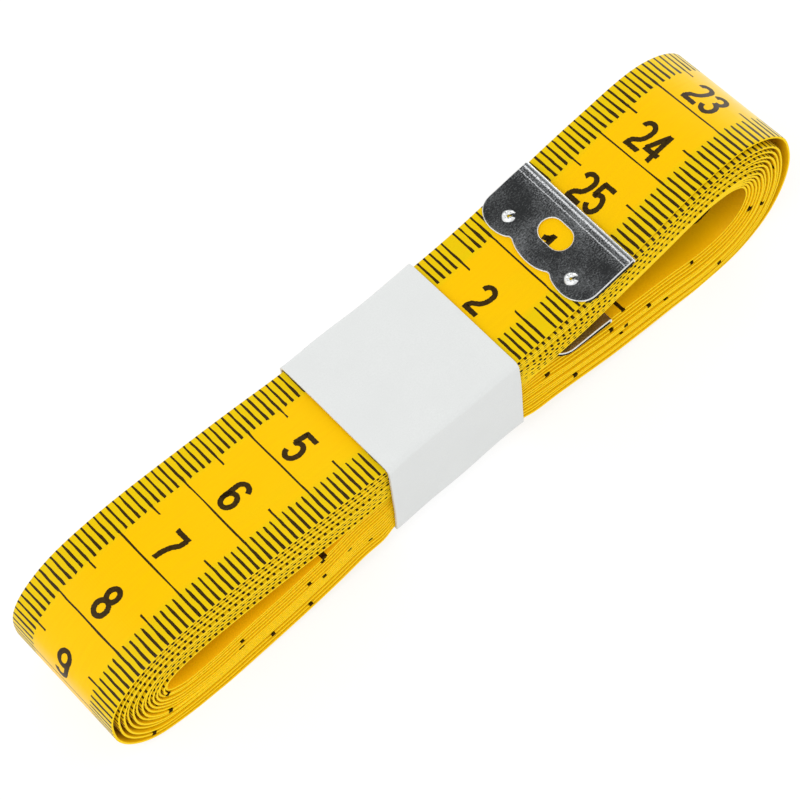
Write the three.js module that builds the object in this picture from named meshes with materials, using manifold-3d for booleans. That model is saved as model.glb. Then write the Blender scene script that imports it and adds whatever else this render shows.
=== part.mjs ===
// Cloth tape measure rolled flat in a paper sleeve.
// Millimetres, +Z up, floor at z = 0, length along X, width along Y.
import * as THREE from "three";
import Module from "manifold-3d";

// ---- Driving dimensions -------------------------------------------------
const TAPE_WIDTH = 19; // real width of the strip
const TAPE_THICKNESS = 0.3; // strip as modelled; the cloth itself is a little thicker
const INNER_END_U = 0.7129; // place round the loop where the inner end lies
const WHOLE_TURNS = 13;
const TURNS = WHOLE_TURNS + INNER_END_U;
const CROWDING = 0.05; // how much closer the inner turns lie than the outer ones
const END_GAP_LEFT = 0.03; // extra room under the outermost turn at the left end
const END_GAP_RIGHT = 0.057; // the same at the right end

const CUT_GAP = 0.3; // clearance at each cut between two tape pieces
const HINGE_A_X = 10.2; // where the loose outer end leaves the sleeve
const HINGE_B_X = 18.71; // where the loose outer end bends, just before its tip
const FREE_Z = [18.4, 19.11, 20.65]; // printed face at hinge A, hinge B and the fold
const FOLD_X = 29.3; // fold edge of the outer tip

const INNER_HINGE_X = 10.23; // where the loose inner end leaves the sleeve
const INNER_FOLD_X = 24.85; // fold edge of the inner tip
const INNER_Z = [11.75, 10.7]; // upper face of the inner end at its hinge and fold

const TIP_SHEET = 0.3; // sheet metal
const TIP_PLAY = 0.03; // between the sheet and the tape
const TIP_LENGTH = 10.1; // fold edge to the crest of a lobe
const TIP_CUSP = 9.25; // fold edge to the notch between two lobes
const TIP_SHOULDER = 7.5; // fold edge to the start of a rounded corner
const TIP_WIDTH = 19.3;
const LOBE_Y = 3.6; // half width of the middle lobe
const SLOT = { near: 3.4, far: 6.7, length: 4.9 };
const CRIMP = { at: 7.2, y: 6.1, radius: 0.95, height: 0.22, dimple: 0.4 };

const SLEEVE = {
  x0: -12.1,
  x1: 9.3,
  z0: 4.1,
  z1: 18.83,
  width: 20.3,
  card: 0.3,
  corner: 0.7,
};

// Rails across the roll: place round the loop (0 to 1), then the outer and the inner point of the rail, x and z.
const RAILS = [
  [0.0000, 29.22, 20.37, 29.16, 14.56],
  [0.0143, 25.61, 19.70, 25.56, 13.88],
  [0.0284, 22.11, 19.24, 22.05, 13.32],
  [0.0445, 18.11, 18.86, 18.04, 12.86],
  [0.0605, 14.10, 18.58, 14.04, 12.50],
  [0.0781, 9.70, 18.36, 9.64, 12.15],
  [0.1005, 4.10, 18.21, 4.03, 11.76],
  [0.1245, -1.90, 18.21, -1.97, 11.52],
  [0.1464, -7.40, 18.38, -7.47, 11.48],
  [0.1660, -12.30, 18.54, -12.37, 11.63],
  [0.1824, -16.39, 18.97, -16.47, 11.67],
  [0.2005, -20.89, 19.44, -20.97, 11.87],
  [0.2205, -25.89, 19.82, -25.96, 12.17],
  [0.2404, -30.88, 20.13, -30.96, 12.48],
  [0.2604, -35.88, 20.39, -35.96, 12.64],
  [0.2764, -39.88, 20.44, -39.96, 12.69],
  [0.2904, -43.41, 20.28, -42.48, 12.57],
  [0.3025, -46.44, 19.92, -44.50, 12.35],
  [0.3149, -49.48, 19.15, -46.23, 11.91],
  [0.3275, -52.35, 17.71, -47.28, 11.31],
  [0.3396, -54.73, 15.70, -47.76, 10.68],
  [0.3514, -56.20, 13.06, -47.89, 10.14],
  [0.3623, -56.55, 10.29, -47.86, 9.70],
  [0.3723, -56.39, 7.72, -47.61, 9.25],
  [0.3829, -55.51, 5.14, -47.10, 8.86],
  [0.3932, -54.02, 2.96, -46.23, 8.62],
  [0.4048, -51.71, 1.07, -45.01, 8.54],
  [0.4181, -48.46, 0.09, -43.48, 8.55],
  [0.4330, -44.70, -0.33, -41.66, 8.61],
  [0.4509, -40.15, -0.35, -38.63, 8.81],
  [0.4710, -35.09, 0.04, -35.00, 9.20],
  [0.4910, -30.08, 0.47, -29.99, 9.74],
  [0.5112, -25.08, 1.06, -24.98, 10.33],
  [0.5315, -20.07, 1.96, -19.98, 10.71],
  [0.5479, -16.06, 2.90, -15.98, 10.85],
  [0.5633, -12.44, 4.26, -12.38, 10.90],
  [0.5828, -7.54, 4.30, -7.48, 10.89],
  [0.6048, -2.04, 4.23, -1.98, 10.98],
  [0.6287, 3.95, 4.13, 4.03, 11.21],
  [0.6511, 9.55, 4.08, 9.63, 11.44],
  [0.6693, 13.94, 2.80, 14.03, 10.99],
  [0.6854, 17.94, 2.14, 18.02, 10.34],
  [0.6996, 21.43, 1.48, 21.52, 10.00],
  [0.7129, 24.72, 0.91, 24.81, 9.86],
  [0.7258, 27.92, 0.55, 28.01, 9.84],
  [0.7418, 31.92, 0.17, 32.01, 9.81],
  [0.7578, 35.91, -0.20, 36.01, 9.73],
  [0.7738, 39.94, -0.68, 39.50, 9.71],
  [0.7890, 43.82, -0.69, 42.27, 9.72],
  [0.8031, 47.42, -0.26, 44.45, 9.82],
  [0.8161, 50.53, 1.01, 46.24, 10.14],
  [0.8286, 53.15, 2.96, 47.44, 10.83],
  [0.8411, 55.07, 5.61, 48.17, 11.77],
  [0.8540, 56.37, 8.74, 48.55, 12.83],
  [0.8661, 56.90, 11.88, 48.52, 13.91],
  [0.8777, 56.75, 14.93, 48.19, 14.96],
  [0.8894, 55.92, 17.90, 47.54, 15.76],
  [0.8999, 54.21, 20.03, 46.45, 16.41],
  [0.9115, 51.64, 21.65, 45.06, 16.82],
  [0.9231, 48.76, 22.54, 43.37, 16.99],
  [0.9351, 45.65, 22.80, 41.69, 16.98],
  [0.9471, 42.55, 22.65, 39.90, 16.67],
  [0.9592, 39.46, 22.28, 37.89, 16.32],
  [0.9722, 36.17, 21.77, 35.68, 15.86],
  [0.9865, 32.63, 21.07, 32.57, 15.25],
  [1.0000, 29.22, 20.37, 29.16, 14.56],
];

// ---- Rolled strip -------------------------------------------------------
const bump = (v) => (Math.abs(v) < 1 ? Math.cos((Math.PI * v) / 2) ** 2 : 0);

// Relative depth of the strip after t turns, at place u of that turn.
function depth(t, turn, u) {
  const gap =
    END_GAP_LEFT * bump((u - 0.355) / 0.075) +
    END_GAP_RIGHT * bump((u - 0.865) / 0.085);
  return (
    t / TURNS +
    CROWDING * Math.sin((Math.PI * t) / TURNS) +
    (turn > 0 ? gap * (1 - (turn - 1) / WHOLE_TURNS) : 0)
  );
}

function railAt(u) {
  let i = 0;
  while (i < RAILS.length - 2 && RAILS[i + 1][0] <= u) i++;
  const a = RAILS[i],
    b = RAILS[i + 1],
    w = (u - a[0]) / (b[0] - a[0]);
  return [1, 2, 3, 4].map((k) => a[k] + (b[k] - a[k]) * w);
}

// [outer x, outer z, inner x, inner z] of the strip's section after t turns.
function section(turn, u) {
  const [ex, ez, ix, iz] = railAt(u);
  const d = depth(turn + u, turn, u),
    dx = ix - ex,
    dz = iz - ez,
    len = Math.hypot(dx, dz),
    x = ex + dx * d,
    z = ez + dz * d;
  return [
    x,
    z,
    x + (dx / len) * TAPE_THICKNESS,
    z + (dz / len) * TAPE_THICKNESS,
  ];
}

// A closed strip from sections in order, TAPE_WIDTH wide.
function strip(sections) {
  const y = TAPE_WIDTH / 2,
    pos = [],
    idx = [];
  for (const [ox, oz, ix, iz] of sections)
    pos.push(ox, -y, oz, ox, y, oz, ix, y, iz, ix, -y, iz);
  for (let i = 0; i + 1 < sections.length; i++)
    for (let k = 0; k < 4; k++) {
      const a = 4 * i + k,
        b = 4 * i + ((k + 1) % 4),
        c = b + 4,
        d = a + 4;
      idx.push(a, b, c, a, c, d);
    }
  const e = 4 * (sections.length - 1);
  idx.push(0, 2, 1, 0, 3, 2, e, e + 1, e + 2, e, e + 2, e + 3);
  const g = new THREE.BufferGeometry();
  g.setAttribute("position", new THREE.Float32BufferAttribute(pos, 3));
  g.setIndex(idx);
  g.computeVertexNormals();
  return g;
}

// A straight strip between two points of its upper face; the other face is below.
function flatStrip(points) {
  const out = points.map(([x, z], i) => {
    const a = points[Math.max(i - 1, 0)],
      b = points[Math.min(i + 1, points.length - 1)],
      l = Math.hypot(b[0] - a[0], b[1] - a[1]),
      nx = (b[1] - a[1]) / l,
      nz = -(b[0] - a[0]) / l;
    return [x, z, x + nx * TAPE_THICKNESS, z + nz * TAPE_THICKNESS];
  });
  return strip(out.reverse());
}

// ---- Booleans -----------------------------------------------------------
const wasm = await Module();
wasm.setup();

function toSolid(geometry) {
  const g = geometry.index ? geometry.toNonIndexed() : geometry;
  const p = g.getAttribute("position");
  const seen = new Map(),
    verts = [],
    tris = [];
  for (let i = 0; i < p.count; i++) {
    const key = [p.getX(i), p.getY(i), p.getZ(i)]
      .map((v) => Math.round(v * 1e4))
      .join();
    if (!seen.has(key)) {
      seen.set(key, verts.length / 3);
      verts.push(p.getX(i), p.getY(i), p.getZ(i));
    }
    tris.push(seen.get(key));
  }
  const kept = [];
  for (let i = 0; i < tris.length; i += 3) {
    const [a, b, c] = tris.slice(i, i + 3);
    if (a !== b && b !== c && a !== c) kept.push(a, b, c);
  }
  return new wasm.Manifold(
    new wasm.Mesh({
      numProp: 3,
      vertProperties: new Float32Array(verts),
      triVerts: new Uint32Array(kept),
    }),
  );
}

function toGeometry(solid) {
  const m = solid.getMesh();
  const p = new Float32Array(m.triVerts.length * 3);
  m.triVerts.forEach((v, i) =>
    p.set(m.vertProperties.subarray(v * m.numProp, v * m.numProp + 3), i * 3),
  );
  const g = new THREE.BufferGeometry();
  g.setAttribute("position", new THREE.BufferAttribute(p, 3));
  g.computeVertexNormals();
  return g;
}

// ---- Folded sheet-metal tip --------------------------------------------
// Built with its fold edge at x = 0, its lobes towards -x and the middle of the tape at z = 0.
function tipGeometry() {
  const inner = TAPE_THICKNESS / 2 + TIP_PLAY,
    outer = inner + TIP_SHEET,
    wrap = new THREE.Shape();
  wrap.moveTo(-14, outer);
  wrap.lineTo(-outer, outer);
  wrap.absarc(-outer, 0, outer, Math.PI / 2, -Math.PI / 2, true);
  wrap.lineTo(-14, -outer);
  wrap.lineTo(-14, -inner);
  wrap.lineTo(-outer, -inner);
  wrap.absarc(-outer, 0, inner, -Math.PI / 2, Math.PI / 2, false);
  wrap.lineTo(-14, inner);
  wrap.closePath();
  const folded = new THREE.ExtrudeGeometry(wrap, {
    depth: TIP_WIDTH + 2,
    bevelEnabled: false,
    curveSegments: 6,
  });
  // the profile is drawn in x and z; its extrusion runs along y
  folded.rotateX(Math.PI / 2);
  folded.translate(0, TIP_WIDTH / 2 + 1, 0);

  const h = TIP_WIDTH / 2,
    plan = new THREE.Shape();
  plan.moveTo(1, -h);
  plan.lineTo(1, h);
  plan.lineTo(-TIP_SHOULDER, h);
  plan.quadraticCurveTo(-TIP_LENGTH + 0.45, h - 0.35, -TIP_LENGTH, LOBE_Y + 3.0);
  plan.quadraticCurveTo(-TIP_LENGTH + 0.05, LOBE_Y + 0.9, -TIP_CUSP, LOBE_Y);
  plan.quadraticCurveTo(-TIP_LENGTH - 0.1, LOBE_Y - 1.6, -TIP_LENGTH, 0);
  plan.quadraticCurveTo(-TIP_LENGTH - 0.1, -LOBE_Y + 1.6, -TIP_CUSP, -LOBE_Y);
  plan.quadraticCurveTo(-TIP_LENGTH + 0.05, -LOBE_Y - 0.9, -TIP_LENGTH, -LOBE_Y - 3.0);
  plan.quadraticCurveTo(-TIP_LENGTH + 0.45, -h + 0.35, -TIP_SHOULDER, -h);
  plan.closePath();
  const outline = new THREE.ExtrudeGeometry(plan, {
    depth: 4,
    bevelEnabled: false,
    curveSegments: 5,
  });
  outline.translate(0, 0, -2);

  const r = (SLOT.far - SLOT.near) / 2,
    cx = -(SLOT.far + SLOT.near) / 2,
    cy = SLOT.length / 2 - r,
    slotShape = new THREE.Shape();
  slotShape.absarc(cx, cy, r, 0, Math.PI, false);
  slotShape.absarc(cx, -cy, r, Math.PI, 2 * Math.PI, false);
  slotShape.closePath();
  const slot = new THREE.ExtrudeGeometry(slotShape, {
    depth: 2,
    bevelEnabled: false,
    curveSegments: 8,
  });
  slot.translate(0, 0, 0.02);

  let solid = toSolid(folded)
    .intersect(toSolid(outline))
    .subtract(toSolid(slot));
  for (const side of [-1, 1]) {
    const boss = new THREE.CylinderGeometry(
      CRIMP.radius * 0.8,
      CRIMP.radius,
      CRIMP.height + 0.1,
      16,
    );
    boss.rotateX(Math.PI / 2);
    boss.translate(
      -CRIMP.at,
      side * CRIMP.y,
      outer + CRIMP.height / 2 - 0.05,
    );
    const dimple = new THREE.CylinderGeometry(
      CRIMP.dimple,
      CRIMP.dimple * 0.7,
      CRIMP.height,
      12,
    );
    dimple.rotateX(Math.PI / 2);
    dimple.translate(-CRIMP.at, side * CRIMP.y, outer + CRIMP.height * 0.75);
    solid = solid.add(toSolid(boss)).subtract(toSolid(dimple));
  }
  return toGeometry(solid);
}

// ---- Paper sleeve -------------------------------------------------------
function roundedRect(target, w, h, r) {
  target.moveTo(-w / 2 + r, -h / 2);
  target.lineTo(w / 2 - r, -h / 2);
  target.absarc(w / 2 - r, -h / 2 + r, r, -Math.PI / 2, 0, false);
  target.absarc(w / 2 - r, h / 2 - r, r, 0, Math.PI / 2, false);
  target.absarc(-w / 2 + r, h / 2 - r, r, Math.PI / 2, Math.PI, false);
  target.absarc(-w / 2 + r, -h / 2 + r, r, Math.PI, 1.5 * Math.PI, false);
  target.closePath();
  return target;
}

function sleeveGeometry() {
  const w = SLEEVE.width,
    h = SLEEVE.z1 - SLEEVE.z0,
    shape = roundedRect(new THREE.Shape(), w, h, SLEEVE.corner);
  shape.holes.push(
    roundedRect(
      new THREE.Path(),
      w - 2 * SLEEVE.card,
      h - 2 * SLEEVE.card,
      SLEEVE.corner - SLEEVE.card,
    ),
  );
  const g = new THREE.ExtrudeGeometry(shape, {
    depth: SLEEVE.x1 - SLEEVE.x0,
    bevelEnabled: false,
    curveSegments: 5,
  });
  // section in y and z, extruded along x
  g.rotateX(Math.PI / 2);
  g.rotateZ(Math.PI / 2);
  return g;
}

// ---- Materials ----------------------------------------------------------
const yellowCloth = new THREE.MeshStandardMaterial({
  color: new THREE.Color(0.95, 0.72, 0.04),
  roughness: 0.38,
  metalness: 0,
});
const tipMetal = new THREE.MeshStandardMaterial({
  color: new THREE.Color(0.36, 0.37, 0.39),
  roughness: 0.35,
  metalness: 1,
});
const whiteCard = new THREE.MeshStandardMaterial({
  color: new THREE.Color(0.88, 0.89, 0.89),
  roughness: 0.75,
  metalness: 0,
});

function mesh(name, geometry, material) {
  const m = new THREE.Mesh(geometry, material);
  m.name = name;
  return m;
}

// ---- Assembly -----------------------------------------------------------
const tapeMeasure = new THREE.Group();

// the roll, from just inside the sleeve's right edge to the same place on the innermost turn
const rolled = [];
{
  const uAt = (x, from) => {
    for (let i = from; i + 1 < RAILS.length; i++) {
      const a = RAILS[i],
        b = RAILS[i + 1];
      if ((a[1] - x) * (b[1] - x) <= 0)
        return a[0] + ((x - a[1]) / (b[1] - a[1])) * (b[0] - a[0]);
    }
    throw new Error("no rail at x = " + x);
  };
  const start = uAt(HINGE_A_X - CUT_GAP / 2, 0);
  const end = uAt(INNER_HINGE_X - CUT_GAP / 2, 30);
  for (let turn = 0; turn <= WHOLE_TURNS; turn++) {
    if (turn === 0) rolled.push(section(0, start));
    for (let i = 0; i + 1 < RAILS.length; i++) {
      const u = RAILS[i][0];
      if (turn === 0 && u <= start + 1e-6) continue;
      if (turn === WHOLE_TURNS && u >= end - 1e-6) break;
      rolled.push(section(turn, u));
    }
    if (turn === WHOLE_TURNS) rolled.push(section(turn, end));
  }
}
const coil = mesh("tape_coil", strip(rolled), yellowCloth);
tapeMeasure.add(coil);

// loose outer end: two lengths and the tip
const freeSlope = Math.atan2(FREE_Z[2] - FREE_Z[1], FOLD_X - HINGE_B_X);
tapeMeasure.add(
  mesh(
    "tape_free_end_a",
    flatStrip([
      [HINGE_A_X + CUT_GAP / 2, FREE_Z[0] + 0.02],
      [HINGE_B_X - CUT_GAP / 2, FREE_Z[1]],
    ]),
    yellowCloth,
  ),
);
const tapeEndX = FOLD_X - 0.72;
tapeMeasure.add(
  mesh(
    "tape_free_end_b",
    flatStrip([
      [HINGE_B_X + CUT_GAP / 2, FREE_Z[1] + 0.04],
      [tapeEndX, FREE_Z[1] + Math.tan(freeSlope) * (tapeEndX - HINGE_B_X)],
    ]),
    yellowCloth,
  ),
);
const outerTip = mesh("outer_end_tip", tipGeometry(), tipMetal);
outerTip.rotation.y = -freeSlope;
outerTip.position.set(
  FOLD_X,
  0,
  FREE_Z[2] - (TAPE_THICKNESS / 2) * Math.cos(freeSlope),
);
tapeMeasure.add(outerTip);

// loose inner end and its tip
const innerSlope = Math.atan2(
  INNER_Z[1] - INNER_Z[0],
  INNER_FOLD_X - INNER_HINGE_X,
);
const innerEndX = INNER_FOLD_X - 0.72;
tapeMeasure.add(
  mesh(
    "tape_inner_end",
    flatStrip([
      [INNER_HINGE_X + CUT_GAP / 2, INNER_Z[0]],
      [innerEndX, INNER_Z[0] + Math.tan(innerSlope) * (innerEndX - INNER_HINGE_X)],
    ]),
    yellowCloth,
  ),
);
const innerTip = mesh("inner_end_tip", tipGeometry(), tipMetal);
innerTip.rotation.y = -innerSlope;
innerTip.position.set(
  INNER_FOLD_X,
  0,
  INNER_Z[1] - (TAPE_THICKNESS / 2) * Math.cos(innerSlope),
);
tapeMeasure.add(innerTip);

// sleeve
const sleeve = mesh("paper_sleeve", sleeveGeometry(), whiteCard);
sleeve.position.set(SLEEVE.x0, 0, (SLEEVE.z0 + SLEEVE.z1) / 2);
tapeMeasure.add(sleeve);

export default tapeMeasure;
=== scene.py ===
import math

import bmesh
import bpy
import numpy as np
from mathutils import Matrix, Vector


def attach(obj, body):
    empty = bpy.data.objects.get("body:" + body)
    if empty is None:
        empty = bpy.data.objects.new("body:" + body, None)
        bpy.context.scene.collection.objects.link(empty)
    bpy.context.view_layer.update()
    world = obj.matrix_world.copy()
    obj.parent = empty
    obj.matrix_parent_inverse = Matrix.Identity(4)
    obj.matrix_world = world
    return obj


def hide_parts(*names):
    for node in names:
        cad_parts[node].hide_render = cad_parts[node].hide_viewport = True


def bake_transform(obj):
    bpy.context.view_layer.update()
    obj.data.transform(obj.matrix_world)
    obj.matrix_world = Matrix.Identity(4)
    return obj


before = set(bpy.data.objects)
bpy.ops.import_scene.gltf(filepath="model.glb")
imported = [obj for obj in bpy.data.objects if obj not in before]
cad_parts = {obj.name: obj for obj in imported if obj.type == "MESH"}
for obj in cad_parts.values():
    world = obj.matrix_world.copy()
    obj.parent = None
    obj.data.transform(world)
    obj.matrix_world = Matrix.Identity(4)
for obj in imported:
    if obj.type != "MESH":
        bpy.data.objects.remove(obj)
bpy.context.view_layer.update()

MM = 0.001
rng = np.random.default_rng(11)

# ---------------------------------------------------------------- dimensions
TAPE_HALF = 9.5  # half the strip's width
CLOTH = 0.33  # coated cloth, printed face to reverse face
TURNS = 13.7129
CROWDING = 0.05
END_GAP_LEFT = 0.03
END_GAP_RIGHT = 0.057
STAND_OFF = 0.36

HINGE_A = (10.2, 18.25)
HINGE_B = (18.71, 18.97)
FOLD = (29.3, 20.65)  # outer tip: fold edge, printed face of the tape there
INNER_HINGE = (10.23, 11.6)
INNER_FOLD = (24.85, 10.70)  # inner tip: fold edge, upper face of the tape there
FREE_SLOPE = math.atan2(20.65 - 19.11, 29.3 - 18.71)
INNER_SLOPE = math.atan2(10.70 - 11.75, 24.85 - 10.23)

SLEEVE_X = (-12.1, 9.3)
SLEEVE_Z = (4.1, 18.83)
SLEEVE_HALF = 10.15
CARD = 0.3

# Rails across the roll: place round the loop, then the outer and the inner point (x, z).
RAILS = np.array([
  [0.0000, 29.22, 20.37, 29.16, 14.56],
  [0.0143, 25.61, 19.70, 25.56, 13.88],
  [0.0284, 22.11, 19.24, 22.05, 13.32],
  [0.0445, 18.11, 18.86, 18.04, 12.86],
  [0.0605, 14.10, 18.58, 14.04, 12.50],
  [0.0781, 9.70, 18.36, 9.64, 12.15],
  [0.1005, 4.10, 18.21, 4.03, 11.76],
  [0.1245, -1.90, 18.21, -1.97, 11.52],
  [0.1464, -7.40, 18.38, -7.47, 11.48],
  [0.1660, -12.30, 18.54, -12.37, 11.63],
  [0.1824, -16.39, 18.97, -16.47, 11.67],
  [0.2005, -20.89, 19.44, -20.97, 11.87],
  [0.2205, -25.89, 19.82, -25.96, 12.17],
  [0.2404, -30.88, 20.13, -30.96, 12.48],
  [0.2604, -35.88, 20.39, -35.96, 12.64],
  [0.2764, -39.88, 20.44, -39.96, 12.69],
  [0.2904, -43.41, 20.28, -42.48, 12.57],
  [0.3025, -46.44, 19.92, -44.50, 12.35],
  [0.3149, -49.48, 19.15, -46.23, 11.91],
  [0.3275, -52.35, 17.71, -47.28, 11.31],
  [0.3396, -54.73, 15.70, -47.76, 10.68],
  [0.3514, -56.20, 13.06, -47.89, 10.14],
  [0.3623, -56.55, 10.29, -47.86, 9.70],
  [0.3723, -56.39, 7.72, -47.61, 9.25],
  [0.3829, -55.51, 5.14, -47.10, 8.86],
  [0.3932, -54.02, 2.96, -46.23, 8.62],
  [0.4048, -51.71, 1.07, -45.01, 8.54],
  [0.4181, -48.46, 0.09, -43.48, 8.55],
  [0.4330, -44.70, -0.33, -41.66, 8.61],
  [0.4509, -40.15, -0.35, -38.63, 8.81],
  [0.4710, -35.09, 0.04, -35.00, 9.20],
  [0.4910, -30.08, 0.47, -29.99, 9.74],
  [0.5112, -25.08, 1.06, -24.98, 10.33],
  [0.5315, -20.07, 1.93, -19.98, 10.71],
  [0.5479, -16.06, 2.60, -15.98, 10.85],
  [0.5590, -13.45, 2.88, -13.39, 10.89],
  [0.5633, -12.44, 3.58, -12.38, 10.90],
  [0.5682, -11.20, 3.93, -11.14, 10.90],
  [0.5828, -7.54, 4.30, -7.48, 10.89],
  [0.6048, -2.04, 4.23, -1.98, 10.98],
  [0.6287, 3.95, 4.13, 4.03, 11.21],
  [0.6511, 9.55, 3.80, 9.63, 11.44],
  [0.6560, 10.72, 3.28, 10.80, 11.36],
  [0.6693, 13.94, 2.74, 14.03, 10.99],
  [0.6854, 17.94, 2.14, 18.02, 10.34],
  [0.6996, 21.43, 1.48, 21.52, 10.00],
  [0.7129, 24.72, 0.91, 24.81, 9.86],
  [0.7258, 27.92, 0.55, 28.01, 9.84],
  [0.7418, 31.92, 0.17, 32.01, 9.81],
  [0.7578, 35.91, -0.20, 36.01, 9.73],
  [0.7738, 39.94, -0.68, 39.50, 9.71],
  [0.7890, 43.82, -0.69, 42.27, 9.72],
  [0.8031, 47.42, -0.26, 44.45, 9.82],
  [0.8161, 50.53, 1.01, 46.24, 10.14],
  [0.8286, 53.15, 2.96, 47.44, 10.83],
  [0.8411, 55.07, 5.61, 48.17, 11.77],
  [0.8540, 56.37, 8.74, 48.55, 12.83],
  [0.8661, 56.90, 11.88, 48.52, 13.91],
  [0.8777, 56.75, 14.93, 48.19, 14.96],
  [0.8894, 55.92, 17.90, 47.54, 15.76],
  [0.8999, 54.21, 20.03, 46.45, 16.41],
  [0.9115, 51.64, 21.65, 45.06, 16.82],
  [0.9231, 48.76, 22.54, 43.37, 16.99],
  [0.9351, 45.65, 22.80, 41.69, 16.98],
  [0.9471, 42.55, 22.65, 39.90, 16.67],
  [0.9592, 39.46, 22.28, 37.89, 16.32],
  [0.9722, 36.17, 21.77, 35.68, 15.86],
  [0.9865, 32.63, 21.07, 32.57, 15.25],
  [1.0000, 29.22, 20.37, 29.16, 14.56],
])


# ---------------------------------------------------------------- the strip's path
def closed_cubic(t, y, at):
    """The closed cubic through y at t (the last row repeats the first), at the places at."""
    n = len(t) - 1
    h = np.diff(t)
    slope = np.diff(y, axis=0) / h[:, None]
    a, r = np.zeros((n, n)), np.zeros((n, y.shape[1]))
    for i in range(n):
        p = (i - 1) % n
        a[i, p] += h[p]
        a[i, i] += 2 * (h[p] + h[i])
        a[i, (i + 1) % n] += h[i]
        r[i] = 6 * (slope[i] - slope[p])
    m = np.linalg.solve(a, r)
    m = np.vstack([m, m[:1]])
    i = np.clip(np.searchsorted(t, at, side="right") - 1, 0, n - 1)
    w0, w1, g = (t[i + 1] - at)[:, None], (at - t[i])[:, None], h[i][:, None]
    return (
        (m[i] * w0**3 + m[i + 1] * w1**3) / (6 * g)
        + (y[i] / g - m[i] * g / 6) * w0
        + (y[i + 1] / g - m[i + 1] * g / 6) * w1
    )


def open_cubic(x, y, at):
    """The natural cubic y(x), x rising, at the places at."""
    n = len(x)
    h = np.diff(x)
    a, r = np.eye(n), np.zeros(n)
    for i in range(1, n - 1):
        a[i, i - 1], a[i, i], a[i, i + 1] = h[i - 1], 2 * (h[i - 1] + h[i]), h[i]
        r[i] = 6 * ((y[i + 1] - y[i]) / h[i] - (y[i] - y[i - 1]) / h[i - 1])
    m = np.linalg.solve(a, r)
    i = np.clip(np.searchsorted(x, at, side="right") - 1, 0, n - 2)
    w0, w1, g = x[i + 1] - at, at - x[i], h[i]
    return (
        (m[i] * w0**3 + m[i + 1] * w1**3) / (6 * g)
        + (y[i] / g - m[i] * g / 6) * w0
        + (y[i + 1] / g - m[i + 1] * g / 6) * w1
    )


def bump(v):
    return np.where(np.abs(v) < 1, np.cos(np.pi * v / 2) ** 2, 0.0)


def smooth(v):
    v = np.clip(v, 0, 1)
    return v * v * (3 - 2 * v)


# Along the lower run some turns lie close together and some stand apart: the step from each to the
# next one inwards, mm, left and right of the sleeve.
STEPS_LEFT = [0.85, 0.85, 0.80, 0.40, 0.39, 0.39, 0.39, 0.42, 0.62, 0.62, 0.60, 0.60, 0.55, 0.55]
STEPS_RIGHT = [0.80, 0.39, 0.85, 0.39, 0.39, 0.85, 0.39, 0.39, 0.80, 0.72, 0.72, 0.62, 0.55, 0.55]


def loop_points(t):
    """Printed face of the strip after t turns."""
    turn = np.floor(t)
    u = t - turn
    rail = closed_cubic(RAILS[:, 0], RAILS[:, 1:], u)
    gap = END_GAP_LEFT * bump((u - 0.355) / 0.075) + END_GAP_RIGHT * bump(
        (u - 0.865) / 0.085
    )
    d = (
        t / TURNS
        + CROWDING * np.sin(np.pi * t / TURNS)
        + np.where(turn > 0, gap * (1 - (turn - 1) / 13), 0)
    )
    across = rail[:, 2:] - rail[:, :2]
    size = np.linalg.norm(across, axis=1)
    for steps, middle, share in (
        (STEPS_LEFT, 0.47, smooth((u - 0.365) / 0.085) * smooth((0.56 - u) / 0.04)),
        (STEPS_RIGHT, 0.72, smooth((u - 0.655) / 0.035) * smooth((0.858 - u) / 0.085)),
    ):
        at = np.concatenate([[0], np.cumsum(steps)]) + middle * 0.62
        own = np.interp(t, np.arange(len(at)) + middle, at, left=at[0]) / size
        own = np.where(t < middle, d, own)
        d = d + (own - d) * share * (turn > 0)
    # the outermost turn stands off at the right end
    d = d - np.where(turn == 0, STAND_OFF * bump((u - 0.868) / 0.078), 0) / size
    p = rail[:, :2] + across * d[:, None]
    p[:, 1] = np.maximum(p[:, 1], 0.0)
    return p


# the rolled part, from under the sleeve on the first turn to just inside it on the last
t_roll = np.arange(0.0930, 13.6490, 0.00035)
roll = loop_points(t_roll)
# the loose outer end: tip, bend at hinge B, sleeve
xa = np.array([29.0, 26.5, 24.0, 21.4, 18.71, 14.2, 10.2, roll[0, 0], roll[60, 0]])
za = np.array([20.636, 20.272, 19.909, 19.53, 19.13, 18.62, 18.385, roll[0, 1], roll[60, 1]])
x_free = np.arange(28.95, roll[0, 0] + 0.02, -0.04)
free = np.stack([x_free, open_cubic(xa[::-1], za[::-1], x_free)], 1)
# the loose inner end
i = int(np.argmin(np.abs(t_roll - 13.635)))
roll, t_roll = roll[: i + 1], t_roll[: i + 1]
xb = np.array([roll[-60, 0], roll[-1, 0], 10.6, 14.2, 18.0, 21.5, 24.4])
line = 11.75 - CLOTH + 0.03 + math.tan(INNER_SLOPE) * (xb - INNER_HINGE[0])
zb = np.where(np.arange(7) < 2, [roll[-60, 1], roll[-1, 1], 0, 0, 0, 0, 0], line)
x_in = np.arange(roll[-1, 0] + 0.04, 24.2, 0.04)
inner = np.stack([x_in, open_cubic(xb, zb, x_in)], 1)

PATH = np.vstack([free, roll, inner])
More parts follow.
